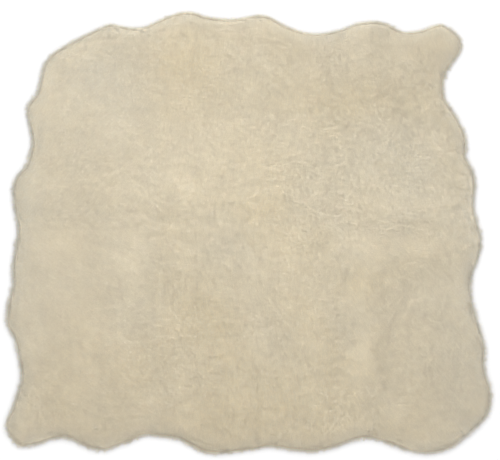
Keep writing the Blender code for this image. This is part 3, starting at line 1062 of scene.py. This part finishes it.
                # The rim's foot carries no painted light or shade, and no patch tone.
                vert[pale] = 0.0
            vert.co.z = self.hide_top
            vert[rise] = self.side_rise
            vert[lean] = -way_in * self.side_lean + Vector((0, 0, -self.side_lean))
            vert[way] = self.pile_way(Vector((-way_in.x, -way_in.y, self.foot_upright)))
        ring = [e for e in bm.edges if e.is_boundary]
        bmesh.ops.contextual_create(bm, geom=ring)
        for face in bm.faces:
            face[under_wool] = float(face in hidden)
        bmesh.ops.recalc_face_normals(bm, faces=bm.faces)

    def sort_faces(self, bm: BMesh) -> None:
        """Puts the faces in the order of their corners, so that every run grows the same wool."""
        bm.verts.index_update()
        in_order = sorted(bm.faces, key=lambda face: sorted(vert.index for vert in face.verts))
        places = {face: float(place) for place, face in enumerate(in_order)}
        bm.faces.sort(key=lambda face: places[face])

    def mark_faces(self, mesh: bpy.types.Mesh, plan: Plan) -> None:
        """Marks the faces that locks grow on, and those at the rim that the fringe grows on."""
        wool = mesh.attributes.new(Face.WOOL.value, "BOOLEAN", "FACE")
        rim = mesh.attributes.new(Face.RIM.value, "BOOLEAN", "FACE")
        lips = mesh.attributes["lip"].data
        for polygon in mesh.polygons:
            distance = plan.rim.near(polygon.center)[0]
            upright = abs(polygon.normal.z) < self.steep
            hidden = distance > self.side_band and (upright or lips[polygon.index].value > 0.5)
            grows = polygon.normal.z > -self.steep and not hidden
            wool.data[polygon.index].value = grows
            rim.data[polygon.index].value = grows and distance < self.at_rim

    def map_faces(self, mesh: bpy.types.Mesh) -> None:
        """Lays the underwool out flat: its top with its side turned out round it, then its underside."""
        xs = [v.co.x for v in mesh.vertices]
        ys = [v.co.y for v in mesh.vertices]
        left, low = min(xs) - self.side_flap, min(ys) - self.side_flap
        wide, deep = max(xs) + self.side_flap - left, max(ys) + self.side_flap - low
        places = mesh.uv_layers.new(name=BAKE_MAP).data
        strands = mesh.attributes.new("strands", "FLOAT2", "CORNER").data
        strip = GrowingTree.base_strip / 2 * self.strip_fill
        for polygon in mesh.polygons:
            under = polygon.normal.z < FACES_DOWN
            for corner in polygon.loop_indices:
                point = mesh.vertices[mesh.loops[corner].vertex_index].co
                strands[corner].vector = (point.x / self.strand_size, point.y / self.strand_size)
                turned = flat(point)
                if not under and point.z < self.hide_top + NO_GAP:
                    turned += flat(polygon.normal).normalized() * self.side_flap
                across = (turned.x - left) / wide
                places[corner].uv = ((across + under) * strip, (turned.y - low) / deep)

    # Each ring of a hide's edge: its height over the floor, and how much of the skiving it has.
    HIDE_EDGE = ((0.0, 1.0), (0.8 * MM, 0.0), (1.9 * MM, 0.0), (2.0 * MM, 0.15))
    SKIVING = 1.6 * MM

    def hide(self, finish: bpy.types.Material) -> bpy.types.Object:
        """Builds the hide as a flat sheet whose flesh side is skived along its edge.

        Args:
            finish: The suede.

        Returns:
            The hide's object.
        """
        source = bmesh.new()
        source.from_mesh(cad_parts[self.node].data)
        bmesh.ops.remove_doubles(source, verts=source.verts, dist=NO_GAP)
        rest = [f for f in source.faces if max(v.co.z for v in f.verts) >= NO_GAP]
        bmesh.ops.delete(source, geom=rest, context="FACES")
        loop = edge_loop(source)
        source.free()

        bm = bmesh.new()
        rings = []
        for height, share in self.HIDE_EDGE:
            ring = []
            for i, point in enumerate(loop):
                along = (loop[(i + 1) % len(loop)] - loop[i - 1]).normalized()
                place = point + Vector((-along.y, along.x, 0)) * share * self.SKIVING
                ring.append(bm.verts.new((place.x, place.y, height)))
            rings.append(ring)
        for below, above in zip(rings, rings[1:]):
            for i, vert in enumerate(below):
                j = (i + 1) % len(loop)
                bm.faces.new((vert, below[j], above[j], above[i]))
        for ring in (rings[0], rings[-1]):
            bm.faces.new(ring)
        bmesh.ops.recalc_face_normals(bm, faces=bm.faces)
        bmesh.ops.triangulate(bm, faces=[f for f in bm.faces if len(f.verts) > 4])
        mesh = mesh_of(bm, self.name("hide"))
        mesh.materials.append(finish)
        return placed(self.name("hide"), mesh)


# ---------------------------------------------------------------- how wool grows


@dataclass(frozen=True)
class Growth:
    """How one kind of fibre grows on the underwool.

    Attributes:
        where: The faces it grows on.
        spacing: Least distance between two roots.
        density: Most roots on a square metre.
        width: Width of a lock at its fullest.
        stretch: Times the local rise that the tallest stands up.
        shortest: The shortest, as a share of the tallest.
        lay: Times the local lean that it lies over.
        along: The attribute of the underwool that has the lean.
        jitter: How far a tip strays at random.
        tousle: How far a tip is pushed by the curls where they are strongest.
        curl_size: Width of one curl.
        keep_base: Whether the underwool stays in the piece.
    """

    where: Face
    spacing: float
    density: float
    width: float
    stretch: float
    shortest: float
    lay: float
    along: str
    jitter: float
    tousle: float
    curl_size: float
    keep_base: bool

    def values(self, seed: int, finish: bpy.types.Material) -> dict[str, Any]:
        """What each named input of the growing tree is set to."""
        sizes = {spec.name.replace("_", " ").title(): getattr(self, spec.name) for spec in fields(self)}
        return {**sizes, "Where": self.where.value, "Seed": seed, "Material": finish}


LOCKS = Growth(where=Face.WOOL, spacing=3.0 * MM, density=300000.0, width=5.6 * MM, stretch=1.0,
               shortest=0.8, lay=1.0, along="lean", jitter=0.8 * MM, tousle=0.4 * MM,
               curl_size=22 * MM, keep_base=True)
FRINGE = Growth(where=Face.RIM, spacing=1.3 * MM, density=500000.0, width=1.6 * MM, stretch=1.3,
                shortest=0.1, lay=1.5, along="outward", jitter=3 * MM, tousle=7 * MM,
                curl_size=13 * MM, keep_base=False)


@dataclass
class GrowingTree:
    """The Geometry Nodes tree that grows locks on a mesh.

    Attributes:
        corners: Corners of a lock's section.
        root_sink: Share of a lock's height that is sunk in the underwool.
        bend: How much later than evenly a lock bends over on its way up.
        slimmest: Least share of the given width that a lock has.
        stoutest: Most of that.
        push: Strength of the noise that makes the curls.
        lowest: No fibre goes lower than this over the floor.
        base_strip: Share of a piece's map that the underwool has.
        cell_share: Share of its cell of the map that a lock fills.
        tree: The tree, once it is built.
    """

    corners: int = 3
    root_sink: float = 0.15
    bend: float = 1.6
    slimmest: float = 0.75
    stoutest: float = 1.2
    push: float = 4
    lowest: float = 0.4 * MM
    base_strip: float = 0.3
    cell_share: float = 0.84
    tree: bpy.types.NodeTree | None = None

    INPUTS = {
        "Geometry": "Geometry", "Where": "String", "Spacing": "Float", "Density": "Float",
        "Width": "Float", "Stretch": "Float", "Shortest": "Float", "Lay": "Float", "Along": "String",
        "Jitter": "Float", "Tousle": "Float", "Curl Size": "Float", "Keep Base": "Bool",
        "Seed": "Int", "Material": "Material",
    }

    def build(self) -> bpy.types.NodeTree:
        """Builds the tree once and returns it."""
        self.tree = bpy.data.node_groups.new("grow_wool", "GeometryNodeTree")
        open_sockets(self.tree, "INPUT", self.INPUTS)
        open_sockets(self.tree, "OUTPUT", {"Geometry": "Geometry"})
        graph = Graph(self.tree)
        given = graph.add("NodeGroupInput").outputs
        points, turn = self.roots(graph, given)
        count = graph.add("GeometryNodeAttributeDomainSize", {0: points}, component="POINTCLOUD").outputs[0]
        cells = graph.maths("CEIL", graph.maths("SQRT", count))
        planted = graph.add("GeometryNodeInstanceOnPoints", {
            "Points": points, "Instance": self.lock(graph), "Rotation": self.turned(graph, given, turn),
            "Scale": self.sizes(graph, given),
        }).outputs[0]
        real = graph.add("GeometryNodeRealizeInstances", {0: planted}).outputs[0]
        laid = self.mapped(graph, self.laid_over(graph, real), cells)
        base = graph.add("GeometryNodeSwitch", {"Switch": given["Keep Base"], "True": given["Geometry"]},
                         input_type="GEOMETRY").outputs[0]
        both = graph.add("GeometryNodeJoinGeometry", {0: laid})
        self.tree.links.new(base, both.inputs[0])
        graph.dressed(both.outputs[0], given["Material"])
        return self.tree

    def stored(self, graph: Graph, geometry: Value, name: str, value: Value, kind: str = "FLOAT",
               domain: str = "POINT") -> Socket:
        """Stores a value as a named attribute and returns the geometry."""
        inputs = {"Geometry": geometry, "Name": name, "Value": value}
        return graph.add("GeometryNodeStoreNamedAttribute", inputs, data_type=kind, domain=domain).outputs[0]

    def read(self, graph: Graph, name: Value, kind: str = "FLOAT") -> Socket:
        """Reads a named attribute."""
        return graph.add("GeometryNodeInputNamedAttribute", {"Name": name}, data_type=kind).outputs[0]

    def chance(self, graph: Graph, given: Any, low: Value, high: Value, draw: Draw) -> Socket:
        """A random number for each root.

        Args:
            graph: The tree's graph.
            given: The tree's inputs.
            low: The least value.
            high: The greatest value.
            draw: What it is drawn for.

        Returns:
            The random number.
        """
        seed = graph.maths("ADD", given["Seed"], float(draw))
        inputs = {2: low, 3: high, "Seed": seed}
        return graph.add("FunctionNodeRandomValue", inputs, data_type="FLOAT").outputs[1]

    def roots(self, graph: Graph, given: Any) -> tuple[Socket, Socket]:
        """Scatters the roots and stores on each how its tip will lie.

        Args:
            graph: The tree's graph.
            given: The tree's inputs.

        Returns:
            The roots as points, and the rotation that stands a lock square to the underwool.
        """
        scattered = graph.add("GeometryNodeDistributePointsOnFaces", {
            "Mesh": given["Geometry"], "Selection": self.read(graph, given["Where"], "BOOLEAN"),
            "Distance Min": given["Spacing"], "Density Max": given["Density"], "Seed": given["Seed"],
        }, distribute_method="POISSON")
        strength = graph.maths("MULTIPLY", given["Tousle"], self.read(graph, "curl"))
        drawn = graph.scaled(self.tousle(graph, given), strength)
        leaning = graph.scaled(self.read(graph, given["Along"], "FLOAT_VECTOR"), given["Lay"])
        inputs = {0: (-1, -1, -0.5), 1: (1, 1, 0.5), "Seed": given["Seed"]}
        stray = graph.add("FunctionNodeRandomValue", inputs, data_type="FLOAT_VECTOR").outputs[0]
        tip_lay = graph.vectors("ADD", graph.vectors("ADD", leaning, drawn),
                                graph.scaled(stray, given["Jitter"]))
        points = self.stored(graph, scattered.outputs[0], "tip_lay", tip_lay, "FLOAT_VECTOR")
        points = self.stored(graph, points, "shade", self.chance(graph, given, 0.0, 1.0, Draw.SHADE))
        height = self.chance(graph, given, given["Shortest"], 1.0, Draw.HEIGHT)
        points = self.stored(graph, points, "grown", height)
        index = graph.add("GeometryNodeInputIndex").outputs[0]
        return self.stored(graph, points, "lock_number", index), scattered.outputs["Rotation"]

    def tousle(self, graph: Graph, given: Any) -> Socket:
        """A smoothly changing level push that gathers tips here and parts them there."""
        scale = graph.maths("DIVIDE", 1.0, given["Curl Size"])
        noise_colour = graph.cloud(graph.spot(), scale, 1.5, 0.6, "Color")
        push = graph.vectors("SUBTRACT", noise_colour, (0.5, 0.5, 0.5))
        return graph.vectors("MULTIPLY", push, (self.push, self.push, 0))

    def lock(self, graph: Graph) -> Socket:
        """Makes one lock: a slim closed cone, one high and one wide, with its root sunk a little."""
        cone = graph.add("GeometryNodeMeshCone", {"Vertices": self.corners, "Side Segments": 1,
                                                  "Radius Top": 0.0, "Radius Bottom": 0.5, "Depth": 1.0})
        place = graph.parts(graph.spot())
        geometry = self.stored(graph, cone.outputs["Mesh"], "tip", place["Z"])
        geometry = self.stored(graph, geometry, "strands", cone.outputs["UV Map"], "FLOAT2", "CORNER")
        lifted = graph.maths("SUBTRACT", self.read(graph, "tip"), self.root_sink)
        inputs = {"Geometry": geometry, "Position": graph.joined(place["X"], place["Y"], lifted)}
        return graph.add("GeometryNodeSetPosition", inputs).outputs[0]

    def turned(self, graph: Graph, given: Any, square: Socket) -> Socket:
        """Turns each lock about itself at random from where it stands square to the underwool."""
        spin = graph.add("FunctionNodeAxisAngleToRotation", {
            "Axis": (0, 0, 1), "Angle": self.chance(graph, given, 0.0, math.tau, Draw.SPIN),
        }).outputs[0]
        inputs = {"Rotation": square, "Rotate By": spin}
        return graph.add("FunctionNodeRotateRotation", inputs, rotation_space="LOCAL").outputs[0]

    def sizes(self, graph: Graph, given: Any) -> Socket:
        """Gives each lock its own width and height."""
        width = self.chance(graph, given, self.slimmest, self.stoutest, Draw.WIDTH)
        width = graph.maths("MULTIPLY", given["Width"], width)
        height = graph.maths("MULTIPLY", given["Stretch"], self.read(graph, "rise"))
        return graph.joined(width, width, graph.maths("MULTIPLY", height, self.read(graph, "grown")))

    def laid_over(self, graph: Graph, real: Socket) -> Socket:
        """Bends the grown locks over and keeps them off the floor."""
        along = graph.maths("POWER", self.read(graph, "tip"), self.bend)
        along = graph.maths("MULTIPLY", along, self.read(graph, "grown"))
        lay = graph.scaled(self.read(graph, "tip_lay", "FLOAT_VECTOR"), along)
        bent = graph.add("GeometryNodeSetPosition", {"Geometry": real, "Offset": lay}).outputs[0]
        place = graph.parts(graph.spot())
        raised = graph.joined(place["X"], place["Y"], graph.maths("MAXIMUM", place["Z"], self.lowest))
        return graph.add("GeometryNodeSetPosition", {"Geometry": bent, "Position": raised}).outputs[0]

    def mapped(self, graph: Graph, geometry: Socket, cells: Socket) -> Socket:
        """Gives each lock its own cell of the piece's map, beside the underwool's strip.

        Args:
            graph: The tree's graph.
            geometry: The locks.
            cells: How many cells there are in a row, and how many rows.

        Returns:
            The locks with their map.
        """
        number = self.read(graph, "lock_number")
        column = graph.maths("MODULO", number, cells)
        row = graph.maths("FLOOR", graph.maths("DIVIDE", number, cells))
        own = graph.parts(self.read(graph, "strands", "FLOAT_VECTOR"))
        margin = (1 - self.cell_share) / 2
        across, along = (
            graph.maths("DIVIDE", graph.maths("ADD", cell, graph.maths("MULTIPLY_ADD", own[axis],
                                                                       self.cell_share, margin)), cells)
            for axis, cell in (("X", column), ("Y", row)))
        across = graph.maths("MULTIPLY_ADD", across, 1 - self.base_strip, self.base_strip)
        return self.stored(graph, geometry, BAKE_MAP, graph.joined(across, along), "FLOAT2", "CORNER")


# ---------------------------------------------------------------- the seams


@dataclass
class Seam:
    """Furrier's stitches that hold two hides together, edge to edge, on the flesh side.

    Attributes:
        name: The seam's name.
        stretches: The short straight stretches that it is made of.
        pitch: Distance from one stitch to the next.
        reach: How far a stitch spans across the seam.
        thread: Radius of the thread.
        depth: Height of a stitch's ends over the floor.
    """

    name: str
    stretches: list[tuple[Vector, Vector]]
    pitch: float = 6 * MM
    reach: float = 4.4 * MM
    thread: float = 0.28 * MM
    depth: float = 1.0 * MM

    def path(self) -> bpy.types.Object:
        """Joins the stretches to one line and returns it as a mesh of edges."""
        bm = bmesh.new()
        for start, end in self.stretches:
            bm.edges.new((bm.verts.new(start), bm.verts.new(end)))
        bmesh.ops.remove_doubles(bm, verts=bm.verts, dist=1.0 * MM)
        return placed(f"{self.name}_path", mesh_of(bm, self.name))

    def values(self, finish: bpy.types.Material) -> dict[str, Any]:
        """What each named input of the sewing tree is set to."""
        return {"Pitch": self.pitch, "Reach": self.reach, "Thread": self.thread, "Depth": self.depth,
                "Material": finish}


STITCH_SLANT = 0.35  # how far along the seam a stitch's ends are from its middle, in pitches
STITCH_SAG = 2.4  # how far a stitch's loop is kept from hanging its full depth, in thread radii


def sewing_tree() -> bpy.types.NodeTree:
    """Builds the Geometry Nodes tree that sews slanting stitches along a line."""
    tree = bpy.data.node_groups.new("overcast_stitches", "GeometryNodeTree")
    open_sockets(tree, "INPUT", {"Geometry": "Geometry", "Pitch": "Float", "Reach": "Float",
                                 "Thread": "Float", "Depth": "Float", "Material": "Material"})
    open_sockets(tree, "OUTPUT", {"Geometry": "Geometry"})
    graph = Graph(tree)
    given = graph.add("NodeGroupInput").outputs
    curve = graph.add("GeometryNodeMeshToCurve", {0: given["Geometry"]}).outputs[0]
    inputs = {"Curve": curve, "Length": given["Pitch"]}
    points = graph.add("GeometryNodeCurveToPoints", inputs, mode="LENGTH")
    half = graph.maths("MULTIPLY", given["Reach"], 0.5)
    slant = graph.maths("MULTIPLY", given["Pitch"], STITCH_SLANT)
    start = graph.joined(graph.maths("MULTIPLY", half, -1.0), graph.maths("MULTIPLY", slant, -1.0),
                         given["Depth"])
    end = graph.joined(half, slant, given["Depth"])
    lowest = graph.maths("SUBTRACT", graph.maths("MULTIPLY", given["Thread"], STITCH_SAG), given["Depth"])
    inputs = {"Resolution": 4, "Start": start, "Middle": graph.joined(z=lowest), "End": end}
    loop = graph.add("GeometryNodeCurveQuadraticBezier", inputs).outputs[0]
    ring = graph.add("GeometryNodeCurvePrimitiveCircle", {"Resolution": 5, "Radius": given["Thread"]})
    stitch = graph.add("GeometryNodeCurveToMesh", {"Curve": loop, "Profile Curve": ring.outputs[0],
                                                   "Fill Caps": True}).outputs[0]
    turned = graph.add("FunctionNodeAlignRotationToVector", {"Vector": points.outputs["Tangent"]},
                       axis="Y", pivot_axis="Z").outputs[0]
    sewn = graph.add("GeometryNodeInstanceOnPoints", {"Points": points.outputs[0], "Instance": stitch,
                                                      "Rotation": turned}).outputs[0]
    graph.dressed(graph.add("GeometryNodeRealizeInstances", {0: sewn}).outputs[0], given["Material"])
    return tree


# ---------------------------------------------------------------- the studio


@dataclass
class Studio:
    """The plain floor, the soft light and the camera straight above.

    Attributes:
        pixel: How much of the floor one pixel of the picture covers.
        picture_width: The picture's width in pixels.
        aim: What the picture's middle shows, in metres.
        height: The camera's height over the floor.
        floor_side: Width of the floor.
        floor_drop: How far under the rug's own underside it is.
        ambient: Strength of the surrounding light.
        key_power: Power of the one lamp, in watts.
        key_place: Where the lamp is, in metres.
        key_side: Width of the lamp.
    """

    pixel: float = 3.7 * MM
    picture_width: int = 500
    aim: tuple[float, float] = (5.6 * MM, 11.1 * MM)
    height: float = 12.0
    floor_side: float = 14.0
    floor_drop: float = 0.2 * MM
    ambient: float = 1.25
    key_power: float = 76.0
    key_place: tuple[float, float, float] = (0.0, 3.0, 4.2)
    key_side: float = 3.5

    def floor(self, finish: bpy.types.Material) -> bpy.types.Object:
        """Lays the floor."""
        bm = bmesh.new()
        bmesh.ops.create_grid(bm, x_segments=1, y_segments=1, size=self.floor_side / 2)
        mesh = mesh_of(bm, "floor")
        mesh.materials.append(finish)
        made = placed("floor", mesh)
        made.location.z = -self.floor_drop
        return made

    def lights(self) -> None:
        """Sets an even white surrounding and one broad lamp at the back."""
        world = bpy.data.worlds.new("surrounding")
        world.use_nodes = True
        background = world.node_tree.nodes["Background"]
        background.inputs["Color"].default_value = (1.0, 1.0, 1.0, 1.0)
        background.inputs["Strength"].default_value = self.ambient
        bpy.context.scene.world = world
        light = bpy.data.lights.new("key", "AREA")
        light.shape = "SQUARE"
        light.size = self.key_side
        light.energy = self.key_power
        lamp = placed("key", light)
        lamp.location = self.key_place
        lamp.rotation_euler = (-Vector(self.key_place)).to_track_quat("-Z", "Y").to_euler()

    def camera(self) -> None:
        """Hangs the camera straight above the rug, with a long lens."""
        data = bpy.data.cameras.new("camera")
        data.sensor_width = 36.0
        data.lens = data.sensor_width * self.height / (self.picture_width * self.pixel)
        data.clip_end = 100.0
        camera = placed("camera", data)
        camera.location = (*self.aim, self.height)
        bpy.context.scene.camera = camera
        bpy.context.scene.view_settings.view_transform = "Standard"


# ---------------------------------------------------------------- the whole rug


SKINS = [
    Skin("skin_back_left", nap=228, combing=228, tint=-0.15, seed=1),
    Skin("skin_back_middle", nap=262, combing=262, tint=0.10, seed=2),
    Skin("skin_back_right", nap=290, combing=290, tint=-0.05, seed=3),
    Skin("skin_front_left", nap=205, combing=322, tint=-0.10, seed=4),
    Skin("skin_front_middle", nap=255, combing=280, tint=0.05, seed=5),
    Skin("skin_front_right", nap=306, combing=306, tint=-0.10, seed=6),
]


def report(piece: bpy.types.Object) -> None:
    """Logs a piece's name and size."""
    triangles = sum(len(p.vertices) - 2 for p in piece.data.polygons)
    LOG.info("%s: %d triangles, %s m", piece.name, triangles, tuple(round(x, 4) for x in piece.dimensions))


def main() -> None:
    """Builds the rug and the studio."""
    logging.basicConfig(level=logging.INFO, format="%(message)s")
    finishes = Finishes()
    wool = WoolFinish().material(finishes, "wool")
    # The loose fringe is painted paler all over: painted light for the shade it lies in.
    loose_wool = WoolFinish(glow=0.0, lighter=0.42).material(finishes, "loose_wool")
    suede = SuedeFinish().material(finishes)
    thread = ThreadFinish().material(finishes)
    studio = Studio()
    studio.camera()
    studio.lights()
    studio.floor(FloorFinish().material(finishes))

    plan = Plan()
    plan.read()
    growing = GrowingTree().build()
    for skin in SKINS:
        hide = skin.hide(suede)
        carrier = skin.underwool(plan)
        fleece = run_tree(carrier, growing, LOCKS.values(skin.seed, wool), skin.name("fleece"))
        fringe = run_tree(carrier, growing, FRINGE.values(skin.seed, loose_wool), skin.name("fringe"))
        bpy.data.objects.remove(carrier)
        for piece, slot in ((fleece, "wool"), (fringe, "wool"), (hide, "suede")):
            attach(piece, "root")
            report(piece)
        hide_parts(skin.node)

    sewing = sewing_tree()
    for (first, second), stretches in sorted(plan.sewn.items()):
        seam = Seam(f"seam_{first[5:]}_to_{second[5:]}", stretches)
        path = seam.path()
        stitches = run_tree(path, sewing, seam.values(thread), seam.name)
        bpy.data.objects.remove(path)
        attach(stitches, "root")
        report(stitches)


if __name__ == "__main__":
    main()
